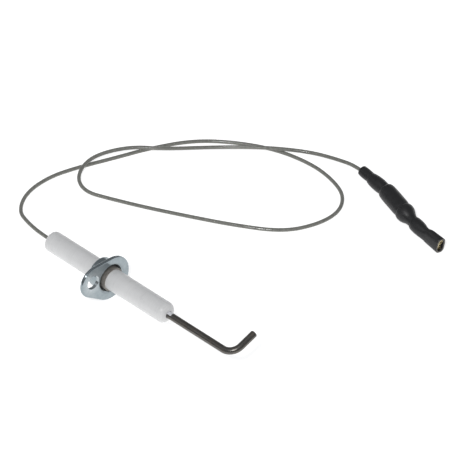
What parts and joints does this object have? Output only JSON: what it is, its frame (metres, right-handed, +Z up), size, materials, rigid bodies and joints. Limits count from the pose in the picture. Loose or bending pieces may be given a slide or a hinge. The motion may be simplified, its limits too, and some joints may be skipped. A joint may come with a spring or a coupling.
{
  "type": "flame sensor probe",
  "caption": "Flame sensor probe: a bent metal rod in a glazed ceramic tube with a one-eared steel flange, on a thin lead ending in a sleeved suppressor and tab terminal.",
  "frame": {"origin": "on the ground plane under the middle of the probe (rod, ceramic and flange, without the lead and what is on it)", "axes": "+X along the probe as it lies, towards the bent tip; +Z up; the probe's own axis rises towards the tip by 9.1 degrees"},
  "size_m": [0.1442, 0.1345, 0.024],
  "materials": {
    "glazed_ceramic": "gloss",
    "rod_steel": "dark oxidised",
    "zinc_steel": "bright zinc plate",
    "ring_steel": "dark spring steel",
    "gasket_fibre": "matt fibre",
    "nickel": "nickel plate",
    "cement": "matt",
    "clear_jacket": "clear",
    "plated_strand": "plated strand",
    "resistor_body": "matt",
    "heat_shrink": "satin",
    "brass": "satin"
  },
  "bodies": {
    "root": {"ceramic_insulator": "glazed_ceramic", "electrode_rod": "rod_steel", "flange_plate": "zinc_steel", "rear_gasket": "gasket_fibre", "front_gasket": "gasket_fibre", "retaining_ring": "ring_steel", "crimp_ferrule": "nickel", "rear_cement": "cement", "cable_jacket": "clear_jacket", "cable_conductor": "plated_strand", "cable_splice": "nickel", "suppressor_resistor": "resistor_body", "rear_resistor_cap": "nickel", "front_resistor_cap": "nickel", "rear_resistor_wire": "plated_strand", "front_resistor_wire": "plated_strand", "entry_sleeve": "heat_shrink", "splice_sleeve": "heat_shrink", "resistor_sleeve": "heat_shrink", "terminal_receptacle": "brass", "terminal_sleeve": "heat_shrink"}
  },
  "joints": []
}
